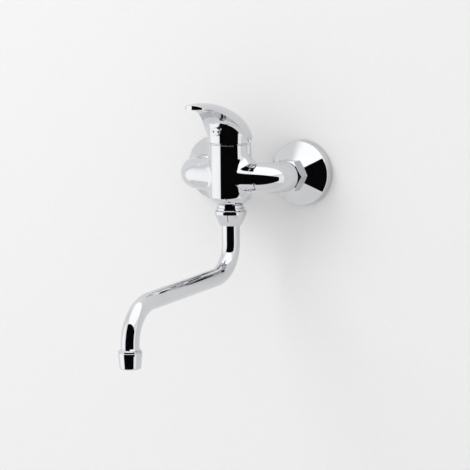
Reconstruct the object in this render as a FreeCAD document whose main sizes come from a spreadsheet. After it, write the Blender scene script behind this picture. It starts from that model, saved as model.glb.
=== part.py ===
import FreeCAD, Part
import math
import os
import Sketcher

# Wall-mounted basin mixer: a cast body on two wall unions, a lifting and turning lever,
# and a bent spout that swings below.
# Frame: origin midway between the two wall inlets, on the wall. +Z is up, +Y goes into the
# wall, so the room is towards -Y. Hot is on the left, -X. Lengths are in millimetres.

DRIVING_SIZES = {
    # where the main axes stand
    "inlet_spacing": 100.0,
    "barrel_to_wall": 60.0,
    # cast body, heights measured from the arms' axis
    "barrel_diameter": 42.2,
    "barrel_height": 33.0,
    "barrel_depth": 22.0,
    "barrel_foot_length": 6.2,
    "barrel_rim_bevel": 0.6,
    "foot_rounding": 8.0,
    "arm_diameter": 30.8,
    "arm_root_diameter": 37.6,
    "arm_fillet": 11.0,
    "elbow_radius": 20.8,
    "elbow_collar_length": 2.2,
    "elbow_collar_bevel": 1.2,
    "waterway_diameter": 13.0,
    "waterway_end_gap": 19.0,
    "duct_diameter": 8.0,
    "duct_end_gap": 5.5,
    # cartridge seat in the body
    "cartridge_pocket_depth": 27.0,
    "cartridge_diameter": 34.8,
    "cartridge_side_clearance": 0.2,
    "port_circle_radius": 9.0,
    "port_diameter": 7.5,
    # outlet boss
    "boss_diameter": 26.0,
    "boss_length": 10.0,
    "boss_shoulder": 1.0,
    "outlet_bore_diameter": 20.1,
    "outlet_bore_length": 19.5,
    "outlet_chamber_diameter": 17.0,
    "outlet_chamber_height": 8.0,
    # running and screwed fits
    "running_clearance": 0.05,
    "seat_gap": 0.05,
    "part_gap": 0.5,
    # wall unions
    "inlet_thread_diameter": 20.96,
    "inlet_thread_length": 14.0,
    "union_thread_diameter": 26.4,
    "union_length": 28.6,
    "union_bore_diameter": 15.0,
    "union_hexagon_width": 24.0,
    "union_hexagon_length": 8.0,
    # union nuts
    "nut_width": 30.0,
    "nut_length": 14.0,
    "nut_lip_thickness": 3.3,
    "nut_bevel": 1.3,
    "washer_thickness": 2.2,
    "washer_bore_diameter": 16.0,
    "flange_thickness": 1.35,
    "nipple_neck_diameter": 21.2,
    "nipple_neck_clearance": 0.15,
    "nipple_thread_diameter": 20.2,
    "nipple_thread_length": 9.5,
    "nut_to_elbow_gap": 1.4,
    # wall rosettes
    "rosette_diameter": 66.0,
    "rosette_rim_depth": 9.2,
    "rosette_rim_draft": 0.4,
    "rosette_edge_rounding": 1.6,
    "rosette_mouth_diameter": 28.6,
    "rosette_depth": 20.6,
    "rosette_sheet": 1.0,
    "rosette_hole_clearance": 0.15,
    # spout nut
    "spout_nut_gap": 3.0,
    "spout_nut_collar_diameter": 28.6,
    "spout_nut_collar_height": 2.4,
    "spout_nut_band_diameter": 32.2,
    "spout_nut_band_height": 3.0,
    "spout_nut_height": 18.0,
    "spout_nut_flat_width": 33.0,
    "spout_nut_tip_flat_width": 20.4,
    "spout_nut_tip_diameter": 22.6,
    "spout_nut_floor": 7.8,
    # spout
    "spout_diameter": 18.0,
    "spout_wall": 1.2,
    "spout_reach": 184.0,
    "spout_run_height": 96.9,
    "spout_run_fall": 9.9,
    "spout_top_bend": 31.7,
    "spout_tip_bend": 37.4,
    "spout_end_depth": 145.1,
    "spout_socket_depth": 8.0,
    "ferrule_diameter": 20.0,
    "ferrule_length": 17.5,
    "ferrule_flange_diameter": 22.6,
    "ferrule_flange_thickness": 2.0,
    "ring_groove_width": 1.9,
    "ring_groove_depth": 1.4,
    "ring_groove_pitch": 5.0,
    "ring_groove_offset": 3.0,
    "seal_cord_diameter": 1.3,
    "slip_ring_thickness": 0.7,
    # spout end and aerator
    "bush_diameter": 23.2,
    "bush_rim_height": 0.8,
    "bush_flare_height": 3.4,
    "bush_flare_waist": 0.6,
    "bush_spigot_length": 2.6,
    "bush_bore_diameter": 13.2,
    "bush_thread_length": 5.0,
    "aerator_thread_diameter": 19.9,
    "aerator_groove_height": 0.7,
    "aerator_groove_depth": 1.0,
    "aerator_diameter": 23.4,
    "aerator_tip_diameter": 20.6,
    "aerator_length": 16.0,
    "aerator_rounding": 1.4,
    "aerator_flat_width": 20.8,
    "aerator_flat_height": 4.4,
    "aerator_bore_diameter": 17.0,
    "aerator_mouth_diameter": 15.2,
    "aerator_lip": 2.4,
    "aerator_gasket_thickness": 1.2,
    "insert_plate": 2.2,
    "insert_wall": 1.0,
    "insert_hole_diameter": 1.8,
    "insert_hole_pitch": 2.8,
    # ceramic cartridge, a stack that starts above the floor
    "cartridge_base_thickness": 3.5,
    "cartridge_lift": 0.4,
    "port_seal_height": 1.3,
    "port_seal_diameter": 11.0,
    "fixed_disc_diameter": 27.0,
    "fixed_disc_thickness": 3.4,
    "moving_disc_diameter": 22.6,
    "moving_disc_thickness": 3.1,
    "mixing_recess_diameter": 12.4,
    "mixing_recess_offset": 4.4,
    "mixing_recess_depth": 1.8,
    "carrier_diameter": 22.0,
    "carrier_width": 18.6,
    "carrier_thickness": 2.9,
    "carrier_peg_diameter": 2.8,
    "carrier_peg_spacing": 15.0,
    "housing_wall": 2.2,
    "housing_roof": 2.0,
    "housing_neck_wall": 1.6,
    "housing_neck_height": 6.4,
    "turret_flange_diameter": 29.0,
    "turret_flange_thickness": 4.0,
    "turret_neck_diameter": 19.9,
    "turret_neck_height": 10.4,
    "turret_cheek_height": 2.6,
    "turret_cheek_clearance": 0.4,
    "spindle_width": 7.8,
    "spindle_rise": 52.6,
    "spindle_ball_diameter": 3.6,
    "spindle_ball_clearance": 0.15,
    "spindle_waist_diameter": 2.6,
    "spindle_shoulder_drop": 3.0,
    "slot_side_clearance": 0.2,
    "slot_front": 5.7,
    "slot_back": 7.9,
    "pivot_rise": 19.5,
    "pivot_pin_diameter": 3.0,
    "pivot_pin_length": 18.4,
    "cartridge_nut_diameter": 37.8,
    "cartridge_nut_height": 6.3,
    "cartridge_nut_slot": 2.6,
    # trim ring
    "cover_ring_height": 1.0,
    "cover_ring_crown": 2.6,
    "cover_ring_bore": 24.8,
    "cover_ring_sheet": 1.0,
    "cover_ring_spigot": 0.7,
    # lever handle
    "handle_foot_diameter": 45.6,
    "handle_neck_diameter": 44.8,
    "handle_front_cove": 14.0,
    "handle_side_cove": 2.5,
    "handle_gap": 0.5,
    "handle_reach": 71.8,
    "handle_height": 42.7,
    "handle_tip_thickness": 4.8,
    "handle_back_rise": 34.4,
    "handle_back_lean": 3.0,
    "handle_crown_run": 29.8,
    "handle_crown_bulge": 5.1,
    "handle_edge_rise": 26.5,
    "handle_edge_lean": 18.0,
    "handle_edge_run": 27.8,
    "handle_edge_drop": 1.2,
    "handle_keel_depth": 22.0,
    "handle_shoulder_width": 56.2,
    "handle_waist_width": 12.8,
    "handle_blade_width": 28.6,
    "handle_tip_width": 20.8,
    "handle_nose_radius": 12.4,
    "handle_nose_allowance": 3.0,
    "handle_edge_rounding": 1.0,
    "handle_wall": 3.2,
    "handle_hollow_height": 7.0,
    "handle_hollow_taper_height": 8.0,
    "handle_hollow_top_diameter": 24.0,
    "handle_boss_diameter": 17.0,
    "handle_boss_drop": 6.5,
    "handle_heel_start": 4.0,
    "handle_heel_angle": 17.0,
    "socket_clearance": 0.1,
    "socket_headroom": 0.3,
    # plug and screw on the lever's front
    "plug_diameter": 9.0,
    "plug_thickness": 6.2,
    "plug_rise": 12.5,
    "plug_front": 20.4,
    "plug_tilt": 0.0,
    "plug_crown": 1.0,
    "mark_diameter": 1.9,
    "mark_depth": 0.5,
    "mark_spacing": 5.2,
    "mark_proud": 0.08,
    "screw_diameter": 4.0,
    "screw_length": 6.0,
    "screw_key_width": 2.0,
    "screw_key_depth": 2.2,
    "screw_tip_diameter": 1.2,
    "screw_tip_length": 1.4,
}

document = FreeCAD.newDocument("BasinMixer")
sheet = document.addObject("Spreadsheet::Sheet", "Sizes")
for row, (alias, number) in enumerate(DRIVING_SIZES.items(), start=1):
    sheet.set(f"A{row}", alias)
    sheet.set(f"B{row}", str(number))
    sheet.setAlias(f"B{row}", alias)
document.recompute()


class Size:
    """A length or angle that keeps the formula it came from."""

    def __init__(self, value, text):
        self.value = float(value)
        self.text = text

    def combine(self, other, sign, value):
        return Size(value, f"({self.text} {sign} {as_size(other).text})")

    def __add__(self, other):
        return self.combine(other, "+", self.value + as_size(other).value)

    def __sub__(self, other):
        return self.combine(other, "-", self.value - as_size(other).value)

    def __mul__(self, other):
        return self.combine(other, "*", self.value * as_size(other).value)

    def __truediv__(self, other):
        return self.combine(other, "/", self.value / as_size(other).value)

    def __neg__(self):
        return self * -1


def as_size(number):
    if isinstance(number, Size):
        return number
    return Size(number, f"({number})")


def size(alias):
    return Size(sheet.get(alias), f"Sizes.{alias}")


def bind(thing, target, amount):
    """Tie one property of a feature to its formula."""
    thing.setExpression(target, as_size(amount).text)


ZERO = as_size(0)
X_AXIS = FreeCAD.Vector(1, 0, 0)
Y_AXIS = FreeCAD.Vector(0, 1, 0)
Z_AXIS = FreeCAD.Vector(0, 0, 1)
UPRIGHT = FreeCAD.Rotation()
TO_ROOM = FreeCAD.Rotation(X_AXIS, 90)
TO_RIGHT = FreeCAD.Rotation(Y_AXIS, 90)


def place(thing, at, turn=UPRIGHT):
    """Put a feature at a point given by three sizes, turned by a fixed rotation."""
    x, y, z = [as_size(amount) for amount in at]
    thing.Placement = FreeCAD.Placement(FreeCAD.Vector(x.value, y.value, z.value), turn)
    for name, amount in (("x", x), ("y", y), ("z", z)):
        bind(thing, f"Placement.Base.{name}", amount)
    return thing


def cylinder(name, radius, height, at=(0, 0, 0), turn=UPRIGHT):
    solid = document.addObject("Part::Cylinder", name)
    bind(solid, "Radius", radius)
    bind(solid, "Height", height)
    return place(solid, at, turn)


def box(name, length, width, height, at=(0, 0, 0), turn=UPRIGHT):
    solid = document.addObject("Part::Box", name)
    bind(solid, "Length", length)
    bind(solid, "Width", width)
    bind(solid, "Height", height)
    return place(solid, at, turn)


def hexagon_bar(name, width, height, at=(0, 0, 0), turn=UPRIGHT):
    """A hexagonal bar given by its width across the flats, with a corner along its own X."""
    bar = document.addObject("Part::Prism", name)
    bar.Polygon = 6
    bind(bar, "Circumradius", width / (2 * math.cos(math.pi / 6)))
    bind(bar, "Height", height)
    return place(bar, at, turn)


def fuse(name, solids):
    union = document.addObject("Part::MultiFuse", name)
    union.Shapes = solids
    return union


def common(name, solids):
    overlap = document.addObject("Part::MultiCommon", name)
    overlap.Shapes = solids
    return overlap


def cut(name, base, tools):
    result = document.addObject("Part::Cut", name)
    result.Base = base
    result.Tool = tools[0] if len(tools) == 1 else fuse(f"{name}_tools", tools)
    return result


def round_edges(name, base, radius, wanted):
    """Fillet the edges of a finished shape that the test picks."""
    document.recompute()
    picked = [index for index, edge in enumerate(base.Shape.Edges, start=1) if wanted(edge)]
    if not picked:
        raise ValueError(f"no edge to round on {name}")
    fillet = document.addObject("Part::Fillet", name)
    fillet.Base = base
    fillet.Edges = [(index, radius.value, radius.value) for index in picked]
    return fillet


def ring_edge(radius, height, axis="z"):
    """A test for whole or part circles of one radius at one height along an axis."""
    def wanted(edge):
        if not isinstance(edge.Curve, Part.Circle):
            return False
        along = getattr(edge.Curve.Center, axis)
        return abs(edge.Curve.Radius - radius.value) < 0.01 and abs(along - height.value) < 0.01
    return wanted


def plane_of(body, role):
    return next(item for item in body.Origin.OriginFeatures if item.Role == role)


def draw(sketch, corners):
    """Draw a closed outline whose corners are each held by a distance across and one along."""
    points = [FreeCAD.Vector(across.value, along.value, 0) for across, along in corners]
    last = len(points) - 1
    for index, point in enumerate(points):
        sketch.addGeometry(Part.LineSegment(point, points[0 if index == last else index + 1]))
    for index in range(len(points)):
        following = 0 if index == last else index + 1
        sketch.addConstraint(Sketcher.Constraint("Coincident", index, 2, following, 1))
    for index, (across, along) in enumerate(corners):
        for kind, amount in (("DistanceX", across), ("DistanceY", along)):
            rule = Sketcher.Constraint(kind, -1, 1, index, 1, amount.value)
            number = sketch.addConstraint(rule)
            bind(sketch, f"Constraints[{number}]", amount)


def turned(name, corners, at=(0, 0, 0), turn=UPRIGHT, rounded=()):
    """A piece turned on a lathe: an outline of radius and height, spun about its own Z."""
    body = document.addObject("PartDesign::Body", name)
    sketch = body.newObject("Sketcher::SketchObject", f"{name}_outline")
    sketch.AttachmentSupport = (plane_of(body, "XZ_Plane"), [""])
    sketch.MapMode = "FlatFace"
    draw(sketch, [(as_size(radius), as_size(height)) for radius, height in corners])
    spin = body.newObject("PartDesign::Revolution", f"{name}_turning")
    spin.Profile = sketch
    spin.ReferenceAxis = (sketch, ["V_Axis"])
    spin.Angle = 360
    sketch.Visibility = False
    latest = spin
    for number, (radius, height, amount) in enumerate(rounded, start=1):
        document.recompute()
        test = ring_edge(as_size(radius), as_size(height))
        edges = latest.Shape.Edges
        names = [f"Edge{index}" for index, edge in enumerate(edges, start=1) if test(edge)]
        if not names:
            raise ValueError(f"no edge {number} to round on {name}")
        fillet = body.newObject("PartDesign::Fillet", f"{name}_rounding_{number}")
        fillet.Base = (latest, names)
        bind(fillet, "Radius", amount)
        latest = fillet
    body.Tip = latest
    return place(body, at, turn)


# Derived places that several pieces share.
half_spacing = size("inlet_spacing") / 2
barrel_axis = -size("barrel_to_wall")
barrel_radius = size("barrel_diameter") / 2
arm_radius = size("arm_diameter") / 2
elbow_end = size("barrel_to_wall") - size("elbow_radius") - size("elbow_collar_length")
nut_front = elbow_end - size("nut_to_elbow_gap")
nut_back = nut_front - size("nut_length")
boss_top = size("barrel_depth") + size("barrel_foot_length")
boss_end = boss_top + size("boss_length")
boss_radius = size("boss_diameter") / 2
cartridge_radius = size("cartridge_diameter") / 2
port_radius = size("port_diameter") / 2
axis_point = (ZERO, barrel_axis, ZERO)


def on_axis(height):
    return (ZERO, barrel_axis, height)


# Cast body: barrel, arms and elbows in one casting, drilled for the cartridge, the two
# supplies and the outlet.
def mixer_body():
    bevel = size("barrel_rim_bevel")
    top = size("barrel_height")
    barrel = turned("barrel", [
        (ZERO, top),
        (barrel_radius - bevel, top),
        (barrel_radius, top - bevel),
        (barrel_radius, -size("barrel_depth")),
        (boss_radius + size("boss_shoulder"), -boss_top),
        (boss_radius, -boss_top),
        (boss_radius, -boss_end),
        (ZERO, -boss_end),
    ], axis_point, rounded=[(barrel_radius, -size("barrel_depth"), size("foot_rounding"))])
    arm_length = half_spacing - size("elbow_radius")
    solids = [barrel]
    for side, sign in (("hot", -1), ("cold", 1)):
        turn = FreeCAD.Rotation(Y_AXIS, 90 * sign)
        solids.append(tapered_arm(f"{side}_arm", arm_length, turn))
        solids.append(elbow(f"{side}_elbow", sign, arm_radius))
        solids.append(elbow_collar(side, sign))
    casting = fuse("casting", solids)
    smoothed = round_edges("casting_fillets", casting, size("arm_fillet"), arm_root_edge)
    return cut("mixer_body", smoothed, body_bores())


def tapered_arm(name, length, turn):
    arm = document.addObject("Part::Cone", name)
    bind(arm, "Radius1", size("arm_root_diameter") / 2)
    bind(arm, "Radius2", arm_radius)
    bind(arm, "Height", length)
    return place(arm, axis_point, turn)


def elbow(name, sign, radius):
    """A quarter bend from the arm's axis to the wall direction."""
    bend = document.addObject("Part::Torus", name)
    bind(bend, "Radius1", size("elbow_radius"))
    bind(bend, "Radius2", radius)
    bend.Angle3 = 90
    start = -90 if sign > 0 else 180
    turn = FreeCAD.Rotation(Z_AXIS, start)
    across = (half_spacing - size("elbow_radius")) * sign
    return place(bend, (across, barrel_axis + size("elbow_radius"), ZERO), turn)


def elbow_collar(side, sign):
    bevel = size("elbow_collar_bevel")
    length = size("elbow_collar_length")
    return turned(f"{side}_elbow_collar", [
        (ZERO, elbow_end),
        (arm_radius - bevel, elbow_end),
        (arm_radius, elbow_end + bevel),
        (arm_radius, elbow_end + length),
        (ZERO, elbow_end + length),
    ], (half_spacing * sign, ZERO, ZERO), TO_ROOM)


def arm_root_edge(edge):
    """True on the curves where the round arms leave the round barrel."""
    if isinstance(edge.Curve, (Part.Circle, Part.Line)):
        return False
    box_of_edge = edge.BoundBox
    middle_y = (box_of_edge.YMin + box_of_edge.YMax) / 2
    inside = max(abs(box_of_edge.XMin), abs(box_of_edge.XMax)) < barrel_radius.value + 0.01
    return inside and box_of_edge.YMax < barrel_axis.value + barrel_radius.value and middle_y < 0


def body_bores():
    floor = cartridge_floor()
    top = size("barrel_height")
    seat_radius = cartridge_radius + size("cartridge_side_clearance")
    nut_radius = size("cartridge_nut_diameter") / 2 + size("running_clearance")
    waterway = size("waterway_diameter") / 2
    bore_top = boss_end - size("outlet_bore_length")
    tools = [
        cylinder("cartridge_bore", seat_radius, top - floor, on_axis(floor)),
        cylinder("nut_bore", nut_radius, top - housing_roof_top(), on_axis(housing_roof_top())),
        cylinder("outlet_bore", size("outlet_bore_diameter") / 2, size("outlet_bore_length"),
                 on_axis(-boss_end)),
        cylinder("outlet_chamber", size("outlet_chamber_diameter") / 2,
                 size("outlet_chamber_height"), on_axis(-bore_top)),
        cylinder("outlet_port", port_radius, floor + bore_top,
                 (ZERO, barrel_axis + size("port_circle_radius"), -bore_top)),
    ]
    gap = size("waterway_end_gap")
    for side, sign in (("hot", -1), ("cold", 1)):
        turn = FreeCAD.Rotation(Y_AXIS, 90 * sign)
        length = half_spacing - size("elbow_radius") - gap
        tools.append(cylinder(f"{side}_waterway", waterway, length,
                              (gap * sign, barrel_axis, ZERO), turn))
        tools.append(cylinder(f"{side}_duct", size("duct_diameter") / 2,
                              gap - size("duct_end_gap") + size("part_gap"),
                              (size("duct_end_gap") * sign, barrel_axis, ZERO), turn))
        tools.append(elbow(f"{side}_waterway_bend", sign, waterway))
        tools.append(cylinder(f"{side}_port", port_radius, floor,
                              (size("port_circle_radius") * sign, barrel_axis, ZERO)))
        depth = size("nipple_thread_length") + size("part_gap")
        bore = size("nipple_thread_diameter") / 2 + size("running_clearance")
        tools.append(cylinder(f"{side}_nipple_bore", bore, depth,
                              (half_spacing * sign, -elbow_end, ZERO), TO_ROOM))
    return tools


def housing_roof_top():
    """Height of the shoulder that the cartridge nut presses on."""
    return turret_flange_top() + size("seat_gap") + size("housing_roof")


# Heights of the cartridge stack, each from the piece below it.
def cartridge_floor():
    return size("barrel_height") - size("cartridge_pocket_depth")


def pivot_height():
    return cartridge_floor() + size("pivot_rise")


def spindle_top():
    return cartridge_floor() + size("spindle_rise")


def base_bottom():
    return cartridge_floor() + size("cartridge_lift")


def base_top():
    return base_bottom() + size("cartridge_base_thickness")


def fixed_disc_bottom():
    return base_top() + size("seat_gap")


def moving_disc_bottom():
    return fixed_disc_bottom() + size("fixed_disc_thickness") + size("seat_gap")


def moving_disc_top():
    return moving_disc_bottom() + size("moving_disc_thickness")


def carrier_bottom():
    return moving_disc_top() + size("seat_gap")


def carrier_top():
    return carrier_bottom() + size("carrier_thickness")


def turret_flange_bottom():
    return carrier_top() + size("seat_gap") * 2


def turret_flange_top():
    return turret_flange_bottom() + size("turret_flange_thickness")


# Wall side, once for each supply: union, washer, nipple, nut and rosette.
def union_washer_back():
    return size("union_length") + size("seat_gap")


def nipple_flange_back():
    return union_washer_back() + size("washer_thickness") + size("seat_gap")


def wall_union(side, at):
    thread = size("union_thread_diameter") / 2
    inlet = size("inlet_thread_diameter") / 2
    bore = size("union_bore_diameter") / 2
    bevel = size("barrel_rim_bevel")
    sleeve = turned(f"{side}_union_sleeve", [
        (bore, -size("inlet_thread_length")),
        (inlet - bevel, -size("inlet_thread_length")),
        (inlet, bevel - size("inlet_thread_length")),
        (inlet, ZERO),
        (thread, ZERO),
        (thread, size("union_length") - bevel),
        (thread - bevel, size("union_length")),
        (bore, size("union_length")),
    ], at, TO_ROOM)
    grip = hexagon_bar(f"{side}_union_grip", size("union_hexagon_width"),
                       size("union_hexagon_length"), at, TO_ROOM)
    bore_tool = cylinder(f"{side}_union_bore", (bore + thread) / 2,
                         size("union_hexagon_length"), at, TO_ROOM)
    collar = cut(f"{side}_union_hexagon", grip, [bore_tool])
    return fuse(f"{side}_wall_union", [sleeve, collar])


def union_washer(side, at):
    outer = size("union_thread_diameter") / 2 - size("nipple_neck_clearance")
    inner = size("washer_bore_diameter") / 2
    low = union_washer_back()
    high = low + size("washer_thickness")
    return turned(f"{side}_union_washer", [
        (inner, low), (outer, low), (outer, high), (inner, high),
    ], at, TO_ROOM)


def seat_nipple(side, at):
    flange = size("union_thread_diameter") / 2 - size("nipple_neck_clearance")
    neck = size("nipple_neck_diameter") / 2
    shank = size("nipple_thread_diameter") / 2
    bore = size("waterway_diameter") / 2
    low = nipple_flange_back()
    shoulder = low + size("flange_thickness")
    face = elbow_end - size("seat_gap")
    tip = elbow_end + size("nipple_thread_length")
    return turned(f"{side}_seat_nipple", [
        (bore, low),
        (flange, low),
        (flange, shoulder),
        (neck, shoulder),
        (neck, face),
        (shank, face),
        (shank, tip),
        (bore, tip),
    ], at, TO_ROOM)


def union_nut(side, at):
    corner = size("nut_width") / (2 * math.cos(math.pi / 6))
    bevel = size("nut_bevel")
    thread = size("union_thread_diameter") / 2 + size("running_clearance")
    lip = size("nipple_neck_diameter") / 2 + size("nipple_neck_clearance")
    seat = nut_front - size("nut_lip_thickness")
    blank = turned(f"{side}_union_nut_blank", [
        (thread, nut_back),
        (corner - bevel * 2, nut_back),
        (corner, nut_back + bevel),
        (corner, nut_front - bevel),
        (corner - bevel * 2, nut_front),
        (lip, nut_front),
        (lip, seat),
        (thread, seat),
    ], at, TO_ROOM)
    bar_at = (at[0], -nut_back, at[2])
    bar = hexagon_bar(f"{side}_union_nut_bar", size("nut_width"), size("nut_length"),
                      bar_at, TO_ROOM)
    return common(f"{side}_union_nut", [blank, bar])


def wall_rosette(side, at):
    sheet_thickness = size("rosette_sheet")
    rim = size("rosette_diameter") / 2
    shoulder = rim - size("rosette_rim_draft")
    mouth = size("rosette_mouth_diameter") / 2
    hole = size("union_thread_diameter") / 2 + size("rosette_hole_clearance")
    depth = size("rosette_depth")
    rim_depth = size("rosette_rim_depth")
    return turned(f"{side}_rosette", [
        (rim, ZERO),
        (shoulder, rim_depth),
        (mouth, depth),
        (hole, depth),
        (hole, depth - sheet_thickness),
        (mouth - sheet_thickness / 3, depth - sheet_thickness),
        (shoulder - sheet_thickness, rim_depth - sheet_thickness),
        (rim - sheet_thickness, ZERO),
    ], at, TO_ROOM, rounded=[
        (shoulder, rim_depth, size("rosette_edge_rounding")),
    ])


# Spout nut: round collar and band above six tapered flats.
def spout_nut_top():
    return -(boss_top + size("spout_nut_gap"))


def spout_nut_bottom():
    return spout_nut_top() - size("spout_nut_height")


def spout_nut_seat():
    return spout_nut_bottom() + size("spout_nut_floor")


def spout_nut():
    top = spout_nut_top()
    bottom = spout_nut_bottom()
    collar = size("spout_nut_collar_diameter") / 2
    band = size("spout_nut_band_diameter") / 2
    tip = size("spout_nut_tip_diameter") / 2
    soft = size("barrel_rim_bevel")
    thread = boss_radius + size("running_clearance")
    hole = size("spout_diameter") / 2 + size("nipple_neck_clearance") * 2
    collar_end = top - size("spout_nut_collar_height")
    band_end = collar_end - soft * 2 - size("spout_nut_band_height")
    seat_bore = size("ferrule_flange_diameter") / 2 + size("nipple_neck_clearance")
    ring = turned("spout_nut_ring", [
        (thread, top),
        (collar - soft, top),
        (collar, top - soft),
        (collar, collar_end),
        (band - soft, collar_end - soft),
        (band, collar_end - soft * 2),
        (band, band_end),
        (thread, band_end),
    ], axis_point)
    cone = turned("spout_nut_cone", [
        (thread, band_end),
        (band, band_end),
        (tip + soft, bottom + soft),
        (tip, bottom),
        (hole, bottom),
        (hole, spout_nut_seat()),
        (seat_bore, spout_nut_seat()),
        (seat_bore, -boss_end - size("seat_gap") * 2),
        (thread, -boss_end - size("seat_gap") * 2),
    ], axis_point)
    flats = tapered_hexagon("spout_nut_flats", size("spout_nut_flat_width"), band_end,
                            size("spout_nut_tip_flat_width"), bottom)
    grip = common("spout_nut_grip", [cone, flats])
    return fuse("spout_nut", [ring, grip])


def tapered_hexagon(name, wide, wide_height, narrow, narrow_height):
    """A six-sided taper between two widths across the flats."""
    rims = []
    for end, width, height in (("wide", wide, wide_height), ("narrow", narrow, narrow_height)):
        rim = document.addObject("Part::RegularPolygon", f"{name}_{end}")
        rim.Polygon = 6
        bind(rim, "Circumradius", width / (2 * math.cos(math.pi / 6)))
        rims.append(place(rim, on_axis(height)))
    taper = document.addObject("Part::Loft", name)
    taper.Sections = rims
    taper.Solid = True
    taper.Ruled = True
    return taper


# Spout: ferrule, seals and slip ring at the top, one bent tube, a flared bush at the end.
def ferrule_bottom():
    return spout_nut_seat() + size("slip_ring_thickness") + size("seat_gap") * 2


def ferrule_top():
    return ferrule_bottom() + size("ferrule_flange_thickness") + size("ferrule_length")


def tube_top():
    return ferrule_bottom() + size("spout_socket_depth")


def groove_height(number):
    """Top of one seal groove, counted down from the ferrule's top."""
    down = size("ring_groove_offset") + size("ring_groove_pitch") * number
    return ferrule_top() - down


SEAL_COUNT = 2


def spout_ferrule():
    outer = size("ferrule_diameter") / 2
    flange = size("ferrule_flange_diameter") / 2
    bore = size("spout_diameter") / 2 - size("spout_wall")
    socket = size("spout_diameter") / 2 + size("running_clearance")
    bevel = size("barrel_rim_bevel")
    outline = [(bore, ferrule_top()), (outer - bevel, ferrule_top()),
               (outer, ferrule_top() - bevel)]
    for number in range(SEAL_COUNT):
        top = groove_height(number)
        floor = outer - size("ring_groove_depth")
        low = top - size("ring_groove_width")
        outline += [(outer, top), (floor, top), (floor, low), (outer, low)]
    flange_top = ferrule_bottom() + size("ferrule_flange_thickness")
    outline += [
        (outer, flange_top),
        (flange, flange_top),
        (flange, ferrule_bottom()),
        (socket, ferrule_bottom()),
        (socket, tube_top() + size("seat_gap")),
        (bore, tube_top() + size("seat_gap")),
    ]
    return turned("spout_ferrule", outline, axis_point)


def spout_seals():
    """Two rubber rings that lie in the ferrule's grooves."""
    rings = []
    cord = size("seal_cord_diameter") / 2
    floor = size("ferrule_diameter") / 2 - size("ring_groove_depth")
    for number in range(SEAL_COUNT):
        ring = document.addObject("Part::Torus", f"spout_seal_{number + 1}")
        bind(ring, "Radius1", floor + cord + size("seat_gap"))
        bind(ring, "Radius2", cord)
        height = groove_height(number) - size("ring_groove_width") / 2
        rings.append(place(ring, on_axis(height)))
    return fuse("spout_seals", rings)


def slip_ring():
    low = spout_nut_seat() + size("seat_gap")
    high = low + size("slip_ring_thickness")
    inner = size("spout_diameter") / 2 + size("nipple_neck_clearance") * 3
    outer = size("ferrule_flange_diameter") / 2
    return turned("slip_ring", [
        (inner, low), (outer, low), (outer, high), (inner, high),
    ], axis_point)


def arc_between(start, centre, end):
    """The round bend about a centre, from a start to an end."""
    middle = (start + end) / 2 - centre
    middle.Length = (start - centre).Length
    return Part.Arc(start, centre + middle, end).toShape()


def spout_path():
    """Down from the body, forward along a slightly falling run, then down to the tip."""
    down = FreeCAD.Vector(0, 0, -1)
    top = FreeCAD.Vector(0, 0, tube_top().value)
    first = FreeCAD.Vector(0, 0, -size("spout_run_height").value)
    reach = size("spout_reach").value
    second = first + FreeCAD.Vector(0, -reach, -size("spout_run_fall").value)
    tip = FreeCAD.Vector(0, -reach, -size("spout_end_depth").value)
    along = (second - first).normalize()
    edges = []
    start = top
    for corner, before, after, radius in (
            (first, down, along, size("spout_top_bend").value),
            (second, along, down, size("spout_tip_bend").value)):
        half_turn = before.getAngle(after) / 2
        back = radius * math.tan(half_turn)
        entry = corner - before * back
        leaving = corner + after * back
        inward = (after - before).normalize()
        centre = corner + inward * (radius / math.cos(half_turn))
        edges.append(Part.LineSegment(start, entry).toShape())
        edges.append(arc_between(entry, centre, leaving))
        start = leaving
    edges.append(Part.LineSegment(start, tip).toShape())
    return Part.Wire(edges)


def spout_tube():
    outer = size("spout_diameter").value / 2
    inner = outer - size("spout_wall").value
    path = spout_path()
    start = path.Edges[0].Vertexes[0].Point
    solids = []
    for radius in (outer, inner):
        ring = Part.Wire(Part.Circle(start, FreeCAD.Vector(0, 0, -1), radius).toShape())
        solids.append(path.makePipeShell([ring], True, False))
    tube = document.addObject("Part::Feature", "spout_tube")
    tube.Shape = solids[0].cut(solids[1])
    return place(tube, axis_point)


def tip_point(height):
    return (ZERO, barrel_axis - size("spout_reach"), height)


def tube_end():
    return -size("spout_end_depth")


def bush_bottom():
    return tube_end() - size("bush_flare_height")


def bush_thread_end():
    return bush_bottom() - size("bush_thread_length")


def spout_end_bush():
    """Flared ring at the tube's end: a spigot up into the tube, a thread down for the aerator."""
    bore = size("bush_bore_diameter") / 2
    tube = size("spout_diameter") / 2
    spigot = tube - size("spout_wall") - size("running_clearance")
    wide = size("bush_diameter") / 2
    thread = size("aerator_thread_diameter") / 2
    waist = size("bush_flare_waist")
    rim = bush_bottom() + size("bush_rim_height")
    bevel = size("barrel_rim_bevel") / 2
    seat = tube_end() - size("seat_gap")
    return turned("spout_end_bush", [
        (bore, tube_end() + size("bush_spigot_length")),
        (spigot, tube_end() + size("bush_spigot_length")),
        (spigot, seat),
        (tube, seat),
        (tube + waist, rim + waist * 2),
        (wide, rim),
        (wide, bush_bottom() + bevel),
        (wide - bevel, bush_bottom()),
        (thread, bush_bottom()),
        (thread, bush_thread_end()),
        (bore, bush_thread_end()),
    ], tip_point(ZERO))


def aerator_ledge():
    """Height of the ledge in the aerator that the gasket lies on."""
    return bush_thread_end() - size("aerator_gasket_thickness") - size("seat_gap") * 2


def aerator_gasket():
    high = bush_thread_end() - size("seat_gap")
    low = aerator_ledge() + size("seat_gap")
    outer = size("aerator_thread_diameter") / 2 - size("nipple_neck_clearance")
    inner = size("spout_diameter") / 2 - size("spout_wall")
    return turned("aerator_gasket", [
        (inner, low), (outer, low), (outer, high), (inner, high),
    ], tip_point(ZERO))


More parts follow.
